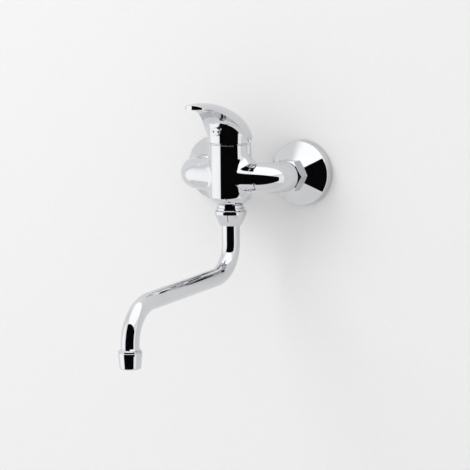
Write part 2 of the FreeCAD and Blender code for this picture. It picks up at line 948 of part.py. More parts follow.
def aerator_housing():
    top = bush_bottom() - size("seat_gap")
    thread = size("aerator_thread_diameter") / 2 + size("running_clearance")
    wide = size("aerator_diameter") / 2
    tip = size("aerator_tip_diameter") / 2
    bevel = size("barrel_rim_bevel")
    shoulder = bush_bottom() - size("aerator_groove_height")
    bottom = shoulder - size("aerator_length")
    bore = size("aerator_bore_diameter") / 2
    mouth = size("aerator_mouth_diameter") / 2
    seat = bottom + size("aerator_lip")
    shell = turned("aerator_shell", [
        (bore, aerator_ledge()),
        (thread, aerator_ledge()),
        (thread, top),
        (wide - size("aerator_groove_depth"), top),
        (wide - size("aerator_groove_depth"), shoulder),
        (wide - bevel / 2, shoulder),
        (wide, shoulder - bevel / 2),
        (wide, shoulder - bevel * 4),
        (tip, bottom),
        (mouth, bottom),
        (mouth, seat),
        (bore, seat),
    ], tip_point(ZERO), rounded=[(tip, bottom, size("aerator_rounding"))])
    flats = []
    for name, sign in (("left", -1), ("right", 1)):
        width = size("aerator_diameter")
        edge = size("aerator_flat_width") / 2
        low = edge if sign > 0 else -(edge + width)
        at = (low, barrel_axis - size("spout_reach") - width, bottom)
        flats.append(box(f"aerator_flat_{name}", width, width * 2, size("aerator_flat_height"), at))
    return cut("aerator_housing", shell, flats)


def aerator_insert():
    """Plastic cup with a holed plate that breaks up the jet."""
    outer = size("aerator_bore_diameter") / 2 - size("nipple_neck_clearance")
    inner = outer - size("insert_wall")
    shoulder = bush_bottom() - size("aerator_groove_height")
    seat = shoulder - size("aerator_length") + size("aerator_lip")
    low = seat + size("seat_gap")
    high = aerator_ledge() - size("part_gap")
    plate = low + size("insert_plate")
    cup = turned("insert_cup", [
        (ZERO, low), (outer, low), (outer, high), (inner, high), (inner, plate), (ZERO, plate),
    ], tip_point(ZERO))
    hole = size("insert_hole_diameter") / 2
    holes = []
    for ring, count in ((1, 6), (2, 12)):
        for number in range(count):
            turn = 2 * math.pi * number / count
            out = size("insert_hole_pitch") * ring
            across = out * round(math.cos(turn), 6)
            forward = out * round(math.sin(turn), 6)
            at = (across, barrel_axis - size("spout_reach") + forward, low)
            holes.append(cylinder(f"jet_{ring}_{number}", hole, size("insert_plate"), at))
    return cut("aerator_insert", cup, holes)


# Ceramic cartridge.
def port_places():
    """The two supplies at the sides and the outlet at the back, seen from the axis."""
    out = size("port_circle_radius")
    return (("hot", -out, ZERO), ("cold", out, ZERO), ("outlet", ZERO, out))


def port_tools(piece, radius, bottom, height):
    tools = []
    for name, across, back in port_places():
        at = (across, barrel_axis + back, bottom)
        tools.append(cylinder(f"{piece}_{name}_hole", radius, height, at))
    return tools


def cartridge_base():
    radius = cartridge_radius - size("nipple_neck_clearance")
    thickness = size("cartridge_base_thickness")
    plate = cylinder("base_plate", radius, thickness, on_axis(base_bottom()))
    holes = port_tools("base", port_radius, base_bottom(), thickness)
    seat = size("port_seal_diameter") / 2 + size("running_clearance")
    depth = seal_top() + size("seat_gap") - base_bottom()
    return cut("cartridge_base", plate, holes + port_tools("base_seat", seat, base_bottom(), depth))


def seal_top():
    return cartridge_floor() + size("seat_gap") + size("port_seal_height")


def port_seals():
    """Three rubber rings between the cartridge and the body's floor."""
    outer = size("port_seal_diameter") / 2
    bottom = cartridge_floor() + size("seat_gap")
    height = size("port_seal_height")
    rings = []
    for name, across, back in port_places():
        rings.append(turned(f"{name}_port_seal", [
            (port_radius, bottom), (outer, bottom),
            (outer, bottom + height), (port_radius, bottom + height),
        ], (across, barrel_axis + back, ZERO)))
    return fuse("port_seals", rings)


def fixed_disc():
    radius = size("fixed_disc_diameter") / 2
    thickness = size("fixed_disc_thickness")
    plate = cylinder("fixed_disc_plate", radius, thickness, on_axis(fixed_disc_bottom()))
    hole = port_radius - size("part_gap")
    return cut("fixed_disc", plate, port_tools("fixed_disc", hole, fixed_disc_bottom(), thickness))


def peg_tools(piece, radius, bottom, height):
    out = size("carrier_peg_spacing") / 2
    pegs = []
    for name, sign in (("left", -1), ("right", 1)):
        pegs.append(cylinder(f"{piece}_{name}_peg", radius, height,
                             (out * sign, barrel_axis, bottom)))
    return pegs


def moving_disc():
    bottom = moving_disc_bottom()
    plate = cylinder("moving_disc_plate", size("moving_disc_diameter") / 2,
                     size("moving_disc_thickness"), on_axis(bottom))
    recess = cylinder("mixing_recess", size("mixing_recess_diameter") / 2,
                      size("mixing_recess_depth"),
                      (ZERO, barrel_axis + size("mixing_recess_offset"), bottom))
    peg_depth = size("carrier_peg_diameter") / 2
    peg_hole = size("carrier_peg_diameter") / 2 + size("running_clearance")
    holes = peg_tools("disc", peg_hole, moving_disc_top() - peg_depth, peg_depth)
    return cut("moving_disc", plate, [recess] + holes)


def disc_carrier():
    bottom = carrier_bottom()
    thickness = size("carrier_thickness")
    radius = size("carrier_diameter") / 2
    width = size("carrier_width")
    blank = cylinder("carrier_blank", radius, thickness, on_axis(bottom))
    guide = box("carrier_guide", width, radius * 2, thickness,
                (-width / 2, barrel_axis - radius, bottom))
    plate = common("carrier_plate", [blank, guide])
    peg_depth = size("carrier_peg_diameter") / 2 - size("seat_gap")
    pegs = peg_tools("carrier", size("carrier_peg_diameter") / 2, bottom - peg_depth,
                     peg_depth + thickness / 2)
    socket = cylinder("carrier_socket", size("spindle_ball_diameter") / 2
                      + size("spindle_ball_clearance"), thickness, on_axis(bottom))
    return cut("disc_carrier", fuse("carrier_with_pegs", [plate] + pegs), [socket])


def cartridge_housing():
    """Moulded cap over the discs, with a neck that guides the turret."""
    outer = cartridge_radius
    inner = outer - size("housing_wall")
    neck = size("turret_neck_diameter") / 2 + size("running_clearance")
    neck_outer = neck + size("housing_neck_wall")
    ceiling = turret_flange_top() + size("seat_gap")
    roof = housing_roof_top()
    top = roof + size("housing_neck_height")
    bottom = base_top() + size("seat_gap")
    return turned("cartridge_housing", [
        (inner, bottom),
        (outer, bottom),
        (outer, roof),
        (neck_outer, roof),
        (neck_outer, top),
        (neck, top),
        (neck, ceiling),
        (inner, ceiling),
    ], axis_point)


def lever_turret():
    """Turning guide: a flange under the housing, a neck with the lever's slot, two cheeks."""
    bottom = turret_flange_bottom()
    flange = size("turret_flange_diameter") / 2
    neck = size("turret_neck_diameter") / 2
    top = turret_flange_top()
    neck_top = top + size("turret_neck_height")
    bevel = size("barrel_rim_bevel")
    post = turned("turret_post", [
        (ZERO, bottom),
        (flange, bottom),
        (flange, top),
        (neck, top),
        (neck, neck_top - bevel),
        (neck - bevel, neck_top),
        (ZERO, neck_top),
    ], axis_point)
    cheek_height = size("turret_cheek_height")
    skirt = cylinder("cheek_ring", flange, cheek_height, on_axis(bottom - cheek_height))
    gap = size("carrier_width") + size("turret_cheek_clearance") * 2
    window = box("cheek_window", gap, flange * 2, cheek_height,
                 (-gap / 2, barrel_axis - flange, bottom - cheek_height))
    cheeks = cut("turret_cheeks", skirt, [window])
    slot_width = size("spindle_width") + size("slot_side_clearance") * 2
    slot = box("lever_slot", slot_width, size("slot_front") + size("slot_back"),
               neck_top - bottom, (-slot_width / 2, barrel_axis - size("slot_front"), bottom))
    pin_hole = cylinder("turret_pin_hole", size("pivot_pin_diameter") / 2
                        + size("running_clearance"), neck * 2,
                        (-neck, barrel_axis, pivot_height()), TO_RIGHT)
    return cut("lever_turret", fuse("turret_blank", [post, cheeks]), [slot, pin_hole])


def spindle_pin():
    length = size("pivot_pin_length")
    return cylinder("spindle_pin", size("pivot_pin_diameter") / 2, length,
                    (-length / 2, barrel_axis, pivot_height()), TO_RIGHT)


def ball_height():
    return carrier_bottom() + size("spindle_ball_diameter") / 2 + size("seat_gap")


def lever_spindle():
    """Square bar on a pivot pin, with a ball below that pushes the disc carrier."""
    width = size("spindle_width")
    shoulder = pivot_height() - size("spindle_shoulder_drop")
    bar = box("spindle_bar", width, width, spindle_top() - shoulder,
              (-width / 2, barrel_axis - width / 2, shoulder))
    waist = cylinder("spindle_waist", size("spindle_waist_diameter") / 2,
                     shoulder - ball_height() + size("part_gap"), on_axis(ball_height()))
    ball = document.addObject("Part::Sphere", "spindle_ball")
    bind(ball, "Radius", size("spindle_ball_diameter") / 2)
    place(ball, on_axis(ball_height()))
    eye = cylinder("spindle_eye", size("pivot_pin_diameter") / 2 + size("running_clearance"),
                   width, (-width / 2, barrel_axis, pivot_height()), TO_RIGHT)
    return cut("lever_spindle", fuse("spindle_blank", [bar, waist, ball]), [eye])


def cartridge_nut():
    outer = size("cartridge_nut_diameter") / 2
    neck = size("turret_neck_diameter") / 2 + size("housing_neck_wall")
    inner = neck + size("nipple_neck_clearance") + size("running_clearance")
    bottom = housing_roof_top() + size("seat_gap")
    top = bottom + size("cartridge_nut_height")
    ring = turned("cartridge_nut_ring", [
        (inner, bottom), (outer, bottom), (outer, top), (inner, top),
    ], axis_point)
    slot = size("cartridge_nut_slot")
    long_way = box("nut_slot_across", outer * 2, slot, slot,
                   (-outer, barrel_axis - slot / 2, top - slot))
    other_way = box("nut_slot_along", slot, outer * 2, slot,
                    (-slot / 2, barrel_axis - outer, top - slot))
    return cut("cartridge_nut", ring, [long_way, other_way])


def cover_ring():
    """Thin plated ring on the barrel's rim, crowned up towards the turret."""
    rim = size("barrel_height")
    edge = rim + size("cover_ring_height")
    crown = rim + size("cover_ring_crown")
    sheet_thickness = size("cover_ring_sheet")
    outer = barrel_radius - size("barrel_rim_bevel") / 4
    spigot = size("cartridge_nut_diameter") / 2 - size("nipple_neck_clearance")
    hole = size("cover_ring_bore") / 2
    return turned("cover_ring", [
        (outer, rim),
        (outer, edge - size("barrel_rim_bevel") / 4),
        (outer - size("barrel_rim_bevel"), edge),
        (hole, crown),
        (hole, crown - sheet_thickness),
        (spigot - sheet_thickness, rim + size("cover_ring_height") / 2),
        (spigot - sheet_thickness, rim - size("cover_ring_spigot")),
        (spigot, rim - size("cover_ring_spigot")),
        (spigot, rim),
    ], axis_point)


# Lever handle: one skin over sections that fan from the round foot to the flat blade.
HANDLE_SECTIONS = 11
SECTION_POINTS = 20


def handle_foot():
    return size("barrel_height") + size("cover_ring_height") + size("handle_gap")


def bezier(points, share):
    """Point on a smooth line at a share of its run, from the line's control points."""
    while len(points) > 1:
        pairs = zip(points, points[1:])
        points = [tuple(a + (b - a) * share for a, b in zip(*pair)) for pair in pairs]
    return points[0]


def handle_top():
    return handle_foot() + size("handle_height")


def handle_lines():
    """The lever from the side, as forward and height: crown line, edge line and keel line."""
    foot = handle_foot().value
    radius = size("handle_foot_diameter").value / 2
    tip = -size("handle_reach").value - size("handle_nose_allowance").value
    top = handle_top().value
    low = top - size("handle_tip_thickness").value
    keel_depth = size("handle_keel_depth").value
    crown = [
        (radius, foot),
        (radius + size("handle_back_lean").value, foot + size("handle_back_rise").value),
        (tip + size("handle_crown_run").value, top + size("handle_crown_bulge").value),
        (tip, top),
    ]
    edge = [
        (0, foot),
        (-size("handle_edge_lean").value, foot + size("handle_edge_rise").value),
        (tip + size("handle_edge_run").value, top - size("handle_edge_drop").value),
        (tip, low),
    ]
    keel = [
        (-radius, foot),
        (-radius - keel_depth, foot + keel_depth / 4),
        (tip + keel_depth * 2 / 3, low - keel_depth / 2),
        (tip, low - keel_depth / 8),
    ]
    return crown, edge, keel


def handle_half_width(share):
    """Half the width along the edge line: foot, shoulder, waist, blade and tip."""
    names = ("foot_diameter", "shoulder_width", "waist_width", "blade_width", "tip_width")
    return bezier([(size(f"handle_{name}").value / 2,) for name in names], share)[0]


def handle_section(share):
    """Points round one section: over the crown from edge to edge, and back round the keel."""
    crown, edge, keel = [bezier(line, share) for line in handle_lines()]
    width = handle_half_width(share)
    points = []
    for number in range(SECTION_POINTS):
        turn = 2 * math.pi * number / SECTION_POINTS
        rise = math.sin(turn)
        end = crown if rise >= 0 else keel
        forward = edge[0] + (end[0] - edge[0]) * abs(rise)
        height = edge[1] + (end[1] - edge[1]) * abs(rise)
        points.append(FreeCAD.Vector(width * math.cos(turn), forward, height))
    return points


def spline_through(points, marks, closed):
    curve = Part.BSplineCurve()
    curve.interpolate(Points=points, Parameters=marks, PeriodicFlag=closed)
    return curve


def handle_skin():
    """One smooth skin through all the sections, closed flat at the foot and at the nose."""
    shares = [number / (HANDLE_SECTIONS - 1) for number in range(HANDLE_SECTIONS)]
    around = [number / SECTION_POINTS for number in range(SECTION_POINTS + 1)]
    rings = [spline_through(handle_section(share), around, True) for share in shares]
    columns = zip(*[ring.getPoles() for ring in rings])
    runs = [spline_through(list(column), shares, False) for column in columns]
    net = [list(row) for row in zip(*[run.getPoles() for run in runs])]
    run = runs[0]
    ring = rings[0]
    surface = Part.BSplineSurface()
    surface.buildFromPolesMultsKnots(
        net, run.getMultiplicities(), ring.getMultiplicities(), run.getKnots(), ring.getKnots(),
        False, True, run.Degree, ring.Degree)
    ends = [Part.Face(Part.Wire(surface.uIso(share).toShape())) for share in (0.0, 1.0)]
    shell = Part.makeShell([surface.toShape()] + ends)
    shell.sewShape()
    return Part.makeSolid(shell)


def handle_form():
    form = document.addObject("Part::Feature", "handle_skin")
    form.Shape = handle_skin()
    place(form, axis_point)
    radius = size("handle_nose_radius")
    reach = size("handle_reach")
    centre = barrel_axis - reach + radius
    height = handle_top() * 2
    nose = cylinder("handle_nose", radius, height, (ZERO, centre, ZERO))
    block = box("nose_block", reach, reach, height, (-reach / 2, centre - reach, ZERO))
    trimmed = cut("handle_trimmed", form, [cut("nose_cutter", block, [nose])])

    def foot_or_nose(edge):
        points = edge.discretize(5)
        rises = [point.z - handle_foot().value for point in points]
        gaps = [math.hypot(point.x, point.y - centre.value) - radius.value for point in points]
        return max(rises) < 0.01 or max(abs(gap) for gap in gaps) < 0.02

    return round_edges("handle_form", trimmed, size("handle_edge_rounding"), foot_or_nose)


def handle_undercut():
    """All that lies below the hood's edge line, except the round neck that carries it."""
    edge = handle_lines()[1]
    neck_radius = size("handle_neck_diameter") / 2
    deep = size("handle_keel_depth").value
    width = size("handle_foot_diameter").value
    start = edge[0]
    end = edge[-1]
    run_on = (start[0] - (edge[1][0] - start[0]) / 2, start[1] - (edge[1][1] - start[1]) / 2)
    corners = [(end[0] - deep, end[1]), (end[0] - deep, run_on[1] - deep),
               (run_on[0], run_on[1] - deep), run_on, start]
    line = Part.BezierCurve()
    line.setPoles([FreeCAD.Vector(-width, forward, height) for forward, height in edge])
    turns = [FreeCAD.Vector(-width, forward, height) for forward, height in [end] + corners]
    sides = [Part.makeLine(*pair) for pair in zip(turns, turns[1:])]
    outline = Part.Wire([line.toShape()] + sides)
    block = document.addObject("Part::Feature", "under_hood")
    block.Shape = Part.Face(outline).extrude(FreeCAD.Vector(width * 2, 0, 0))
    place(block, axis_point)
    seam_in_front = FreeCAD.Rotation(Z_AXIS, -90)
    neck = cylinder("handle_neck", neck_radius, handle_top(), axis_point, seam_in_front)
    around = cut("around_neck", block, [neck])
    document.recompute()
    rounding = document.addObject("Part::Fillet", "undercut")
    rounding.Base = around
    rounding.Edges = [(index, *cove_radii(side))
                      for index, side in enumerate(around.Shape.Edges, start=1)
                      if follows_neck(side)]
    return rounding


def follows_neck(side):
    """True on the slanting curves where the hood's underside meets the round neck."""
    start, *middle, end = side.discretize(5)
    radius = size("handle_neck_diameter").value / 2
    points = [start, *middle, end]
    gaps = [math.hypot(point.x, point.y - barrel_axis.value) - radius for point in points]
    return max(abs(gap) for gap in gaps) < 0.02 and start.z != end.z and start.x != end.x


def cove_radii(side):
    """The cove is widest in front, under the blade, and narrow beside the foot."""
    front = barrel_axis.value - size("handle_neck_diameter").value / 2
    wide = size("handle_front_cove").value
    narrow = size("handle_side_cove").value
    return [wide if abs(point.y - front) < 0.01 else narrow for point in side.discretize(2)]


def plug_turn():
    """Rotation that points the plug's axis out of the lever's front, tilted down."""
    return FreeCAD.Rotation(X_AXIS, 90 + size("plug_tilt").value)


def along_plug(distance):
    """A point on the plug's axis, this far out from the plug's seat."""
    tilt = math.radians(size("plug_tilt").value)
    out = as_size(distance)
    return (ZERO, barrel_axis - size("plug_front") - out * round(math.cos(tilt), 6),
            handle_foot() + size("plug_rise") - out * round(math.sin(tilt), 6))


def screw_end():
    """How far in from the plug's seat the screw's tip meets the spindle."""
    reach = size("plug_front") - size("spindle_width") / 2 - size("seat_gap")
    tilt = math.radians(size("plug_tilt").value)
    rim = size("screw_tip_diameter") / 2 * round(math.tan(tilt), 6)
    return reach / round(math.cos(tilt), 6) - rim


def lever_handle():
    foot = handle_foot()
    hollow = size("handle_foot_diameter") / 2 - size("handle_wall")
    step = foot + size("handle_hollow_height")
    ceiling = step + size("handle_hollow_taper_height")
    boss = size("handle_boss_diameter") / 2
    boss_bottom = foot + size("handle_boss_drop")
    cavity = turned("handle_hollow", [
        (ZERO, foot - size("handle_gap")),
        (hollow, foot - size("handle_gap")),
        (hollow, step),
        (size("handle_hollow_top_diameter") / 2, ceiling),
        (boss, ceiling),
        (boss, boss_bottom),
        (ZERO, boss_bottom),
    ], axis_point)
    width = size("spindle_width") + size("socket_clearance") * 2
    socket_top = spindle_top() + size("socket_headroom")
    socket = box("handle_socket", width, width, socket_top - boss_bottom,
                 (-width / 2, barrel_axis - width / 2, boss_bottom))
    seat = cylinder("plug_seat", size("plug_diameter") / 2 + size("running_clearance"),
                    size("handle_reach"), along_plug(0), plug_turn())
    screw_way = cylinder("screw_way", size("screw_diameter") / 2 + size("running_clearance"),
                         screw_end(), along_plug(-screw_end()), plug_turn())
    heel = heel_cutter()
    under = handle_undercut()
    return cut("lever_handle", handle_form(), [under, cavity, socket, seat, screw_way, heel])


def heel_cutter():
    """Wedge that clears the back of the foot so that it can dip as the lever lifts."""
    length = size("handle_foot_diameter")
    turn = FreeCAD.Rotation(X_AXIS, size("handle_heel_angle").value)
    lean = math.radians(size("handle_heel_angle").value)
    drop = length
    at = (-length, barrel_axis - size("handle_heel_start") + drop * round(math.sin(lean), 6),
          handle_foot() - drop * round(math.cos(lean), 6))
    return box("heel_wedge", length * 2, length * 2, drop, at, turn)


def grub_screw():
    length = size("screw_length")
    radius = size("screw_diameter") / 2
    body = turned("screw_body", [
        (ZERO, ZERO),
        (size("screw_tip_diameter") / 2, ZERO),
        (radius, size("screw_tip_length")),
        (radius, length),
        (ZERO, length),
    ], along_plug(-screw_end()), plug_turn())
    key_depth = size("screw_key_depth")
    key = hexagon_bar("screw_key", size("screw_key_width"), key_depth,
                      along_plug(length - screw_end() - key_depth), plug_turn())
    return cut("grub_screw", body, [key])


def index_plug():
    radius = size("plug_diameter") / 2
    thickness = size("plug_thickness")
    disc = turned("plug_disc", [
        (ZERO, size("seat_gap")),
        (radius, size("seat_gap")),
        (radius, thickness),
        (ZERO, thickness),
    ], along_plug(0), plug_turn(), rounded=[(radius, thickness, size("plug_crown"))])
    seats = [mark_cylinder(f"{name}_seat", sign, size("running_clearance"))
             for name, sign in MARK_SIDES]
    return cut("index_plug", disc, seats)


MARK_SIDES = (("hot", -1), ("cold", 1))


def mark_cylinder(name, sign, clearance):
    """Small coloured inlay beside the plug's centre; its seat is the same with clearance."""
    x, y, z = along_plug(size("plug_thickness") - size("mark_depth") - clearance)
    return cylinder(name, size("mark_diameter") / 2 + clearance,
                    size("mark_depth") + size("mark_proud") + clearance,
                    (x + size("mark_spacing") / 2 * sign, y, z), plug_turn())


def build():
    pieces = [mixer_body()]
    for side, sign in (("hot", -1), ("cold", 1)):
        at = (half_spacing * sign, ZERO, ZERO)
        for maker in (wall_union, union_washer, seat_nipple, union_nut, wall_rosette):
            pieces.append(maker(side, at))
    makers = [
        spout_nut, spout_ferrule, spout_seals, slip_ring, spout_tube, spout_end_bush,
        aerator_gasket, aerator_housing, aerator_insert,
        cartridge_base, port_seals, fixed_disc, moving_disc, disc_carrier, cartridge_housing,
        lever_turret, spindle_pin, lever_spindle, cartridge_nut, cover_ring,
        lever_handle, grub_screw, index_plug,
    ]
    pieces += [maker() for maker in makers]
    for name, sign in MARK_SIDES:
        pieces.append(mark_cylinder(f"{name}_mark", sign, ZERO))
    return pieces


parts = build()
document.recompute()

for feature in document.Objects:
    if "Invalid" in feature.State or "Error" in feature.State:
        raise RuntimeError(f"{feature.Name} did not build: {feature.State}")
for piece in parts:
    if piece.Shape.isNull() or not piece.Shape.isValid() or piece.Shape.Volume <= 0:
        raise RuntimeError(f"{piece.Label} has no valid solid")

os.makedirs("parts", exist_ok=True)
for piece in parts:
    piece.Shape.exportStep(f"parts/{piece.Label}.step")
    print(f"{piece.Label}: {len(piece.Shape.Solids)} solid, {piece.Shape.Volume:.0f} mm3")
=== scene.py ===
import math

import bpy
from mathutils import Matrix, Vector

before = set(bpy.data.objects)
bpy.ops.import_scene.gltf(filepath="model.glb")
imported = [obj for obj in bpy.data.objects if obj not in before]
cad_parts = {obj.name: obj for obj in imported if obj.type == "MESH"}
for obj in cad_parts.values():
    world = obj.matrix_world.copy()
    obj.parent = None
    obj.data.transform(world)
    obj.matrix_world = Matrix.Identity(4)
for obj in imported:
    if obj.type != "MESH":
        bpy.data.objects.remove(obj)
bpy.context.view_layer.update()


# ---------------------------------------------------------------------------
# The two wall unions: straight brass tails with a wall thread behind and a
# coned seat in front, turned from bar. They are screwed into the pipes in the
# wall and carry the whole tap, so most of them is hidden under the rosettes.
# ---------------------------------------------------------------------------
BRASS_LIGHT = (0.80, 0.62, 0.33, 1.0)
BRASS_DARK = (0.66, 0.48, 0.23, 1.0)
LATHE_RINGS_PER_METRE = 900.0
LATHE_RING_DEPTH = 0.00001
WALL_THREAD_PITCH = 0.001814
WALL_THREAD_DEPTH = 0.0004
WAVE_BANDS_PER_METRE = 10.0 / math.pi  # what the wave texture makes at a scale of 1


def shader_of(name):
    """A new node material with its nodes, its links and its Principled shader."""
    finish = bpy.data.materials.new(name)
    finish.use_nodes = True
    nodes = finish.node_tree.nodes
    return finish, nodes, finish.node_tree.links, nodes["Principled BSDF"]


def grain(nodes, links, scale, detail=3.0, stretch=(1.0, 1.0, 1.0)):
    """Noise laid over the piece in metres of the object itself."""
    place = nodes.new("ShaderNodeTexCoord")
    spread = nodes.new("ShaderNodeMapping")
    spread.inputs["Scale"].default_value = stretch
    noise = nodes.new("ShaderNodeTexNoise")
    noise.inputs["Scale"].default_value = scale
    noise.inputs["Detail"].default_value = detail
    links.new(place.outputs["Object"], spread.inputs["Vector"])
    links.new(spread.outputs["Vector"], noise.inputs["Vector"])
    return noise.outputs["Fac"]


def between(nodes, links, value, start, end):
    """Spreads a 0 to 1 pattern over a range of its own."""
    spread = nodes.new("ShaderNodeMapRange")
    spread.inputs["To Min"].default_value = start
    spread.inputs["To Max"].default_value = end
    links.new(value, spread.inputs["Value"])
    return spread.outputs["Result"]


def two_tones(nodes, links, value, first, second, low=0.35, high=0.65):
    """Runs a pattern from one colour to another."""
    ramp = nodes.new("ShaderNodeValToRGB")
    ramp.color_ramp.elements[0].position = low
    ramp.color_ramp.elements[0].color = first
    ramp.color_ramp.elements[1].position = high
    ramp.color_ramp.elements[1].color = second
    links.new(value, ramp.inputs["Fac"])
    return ramp.outputs["Color"]


def raise_by(nodes, links, shader, height, depth):
    """Raises and sinks the surface by a pattern, depth in metres."""
    relief = nodes.new("ShaderNodeBump")
    relief.inputs["Strength"].default_value = 1.0
    relief.inputs["Distance"].default_value = depth
    links.new(height, relief.inputs["Height"])
    links.new(relief.outputs["Normal"], shader.inputs["Normal"])


def turned_rings(nodes, links, axis, rings_per_metre):
    """The fine rings that a lathe tool leaves round an axis of the piece."""
    place = nodes.new("ShaderNodeTexCoord")
    rings = nodes.new("ShaderNodeTexWave")
    rings.wave_type = "BANDS"
    rings.bands_direction = axis
    rings.inputs["Scale"].default_value = rings_per_metre / WAVE_BANDS_PER_METRE
    rings.inputs["Distortion"].default_value = 0.6
    rings.inputs["Detail"].default_value = 2.0
    links.new(place.outputs["Object"], rings.inputs["Vector"])
    return rings.outputs["Fac"]


def machined_brass(name, axis, rings_per_metre=LATHE_RINGS_PER_METRE, depth=LATHE_RING_DEPTH):
    """Brass as the lathe leaves it, a little duller where it was handled."""
    finish, nodes, links, shader = shader_of(name)
    patches = grain(nodes, links, scale=70.0, detail=4.0)
    rings = turned_rings(nodes, links, axis, rings_per_metre)
    shader.inputs["Metallic"].default_value = 1.0
    tone = two_tones(nodes, links, patches, BRASS_DARK, BRASS_LIGHT)
    links.new(tone, shader.inputs["Base Color"])
    links.new(between(nodes, links, patches, start=0.34, end=0.16), shader.inputs["Roughness"])
    raise_by(nodes, links, shader, rings, depth)
    return finish


def put_on(finish, *pieces):
    """Gives a finish to every material slot of the named pieces."""
    for piece in pieces:
        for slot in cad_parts[piece].material_slots:
            slot.material = finish


threaded_brass = machined_brass("threaded_brass", "Y", 1.0 / WALL_THREAD_PITCH, WALL_THREAD_DEPTH)
put_on(threaded_brass, "hot_wall_union", "cold_wall_union")


# ---------------------------------------------------------------------------
# The union washers, the spout's O-rings, the port seals and the aerator's
# gasket: black nitrile rubber, moulded or punched, squeezed between two metal
# faces and seen only when the tap is taken apart.
# ---------------------------------------------------------------------------
RUBBER_BLACK = (0.018, 0.018, 0.019, 1.0)
RUBBER_BLOOM = (0.045, 0.045, 0.046, 1.0)

sealing_rubber, nodes, links, shader = shader_of("sealing_rubber")
bloom = grain(nodes, links, scale=400.0, detail=5.0)
tone = two_tones(nodes, links, bloom, RUBBER_BLACK, RUBBER_BLOOM, low=0.3, high=0.8)
links.new(tone, shader.inputs["Base Color"])
links.new(between(nodes, links, bloom, start=0.62, end=0.82), shader.inputs["Roughness"])
raise_by(nodes, links, shader, bloom, depth=0.00003)
put_on(
    sealing_rubber,
    "hot_union_washer",
    "cold_union_washer",
    "spout_seals",
    "port_seals",
    "aerator_gasket",
)


# ---------------------------------------------------------------------------
# The seat nipples: short brass bushes screwed into the ends of the body's
# arms. Each has a collar that holds a union nut and a flat face for a washer.
# ---------------------------------------------------------------------------
nipple_brass = machined_brass("nipple_brass", "Y")
put_on(nipple_brass, "hot_seat_nipple", "cold_seat_nipple")


# ---------------------------------------------------------------------------
# The union nuts: hexagon nuts of brass, chamfered at both ends, polished and
# chrome plated. Each hangs loose on its nipple and pulls it to a wall union.
# ---------------------------------------------------------------------------
CHROME = (0.685, 0.69, 0.71, 1.0)
CHROME_DEEPER = (0.66, 0.665, 0.685, 1.0)


def plated_chrome(name, smooth=0.012, dull=0.05, wave=0.000004, patch=45.0):
    """Bright plating over polished brass: a mirror that wavers very slightly."""
    finish, nodes, links, shader = shader_of(name)
    clouds = grain(nodes, links, scale=patch, detail=2.0)
    haze = grain(nodes, links, scale=900.0, detail=4.0)
    shader.inputs["Metallic"].default_value = 1.0
    tone = two_tones(nodes, links, clouds, CHROME_DEEPER, CHROME)
    links.new(tone, shader.inputs["Base Color"])
    links.new(between(nodes, links, haze, smooth, dull), shader.inputs["Roughness"])
    raise_by(nodes, links, shader, clouds, wave)
    return finish


nut_chrome = plated_chrome("nut_chrome", smooth=0.02, dull=0.07, wave=0.000002)
put_on(nut_chrome, "hot_union_nut", "cold_union_nut", "spout_nut")


# ---------------------------------------------------------------------------
# The rosettes: thin spun brass cones, chrome plated, pushed over the unions
# against the wall. They hide the holes in the tiles.
# ---------------------------------------------------------------------------
rosette_chrome = plated_chrome("rosette_chrome", smooth=0.015, dull=0.05, wave=0.000006, patch=30.0)
put_on(rosette_chrome, "hot_rosette", "cold_rosette")


# ---------------------------------------------------------------------------
# The body: one brass casting with a barrel for the cartridge and two arms that
# bend back to the wall, ground, polished and chrome plated all over.
# ---------------------------------------------------------------------------
cast_chrome = plated_chrome("cast_chrome", smooth=0.012, dull=0.045, wave=0.000008, patch=38.0)
put_on(cast_chrome, "mixer_body")


# ---------------------------------------------------------------------------
# The cartridge's shell: base, housing and the slip ring under the spout's
# ferrule, all moulded in white acetal, pressed together or laid in place.
# ---------------------------------------------------------------------------
ACETAL_WHITE = (0.80, 0.80, 0.77, 1.0)
ACETAL_SHADE = (0.72, 0.72, 0.69, 1.0)


def moulded_plastic(name, light, shade, roughness=0.42, depth=0.00002):
    """Moulded plastic with the faint orange peel of the mould."""
    finish, nodes, links, shader = shader_of(name)
    peel = grain(nodes, links, scale=700.0, detail=3.0)
    clouds = grain(nodes, links, scale=80.0, detail=2.0)
    sheen = between(nodes, links, peel, start=roughness - 0.06, end=roughness + 0.08)
    links.new(two_tones(nodes, links, clouds, shade, light), shader.inputs["Base Color"])
    links.new(sheen, shader.inputs["Roughness"])
    raise_by(nodes, links, shader, peel, depth)
    return finish


white_acetal = moulded_plastic("white_acetal", ACETAL_WHITE, ACETAL_SHADE)
put_on(white_acetal, "cartridge_base", "cartridge_housing", "slip_ring")


# ---------------------------------------------------------------------------
# The two valve discs: white alumina, fired, then lapped flat so that water
# cannot pass between them. The lower is fixed, the upper slides and turns.
# ---------------------------------------------------------------------------
ALUMINA = (0.87, 0.87, 0.85, 1.0)
ALUMINA_SHADE = (0.82, 0.82, 0.79, 1.0)

lapped_ceramic, nodes, links, shader = shader_of("lapped_ceramic")
speckle = grain(nodes, links, scale=1500.0, detail=6.0)
tone = two_tones(nodes, links, speckle, ALUMINA_SHADE, ALUMINA, low=0.2, high=0.6)
links.new(tone, shader.inputs["Base Color"])
links.new(between(nodes, links, speckle, start=0.08, end=0.2), shader.inputs["Roughness"])
raise_by(nodes, links, shader, speckle, depth=0.000003)
put_on(lapped_ceramic, "fixed_disc", "moving_disc")


# ---------------------------------------------------------------------------
# The moving plastics of the cartridge: the carrier that pushes the disc and
# the turret that the lever turns, moulded in grey glass-filled plastic.
# ---------------------------------------------------------------------------
FILLED_GREY = (0.24, 0.25, 0.27, 1.0)
FILLED_GREY_DARK = (0.17, 0.18, 0.195, 1.0)

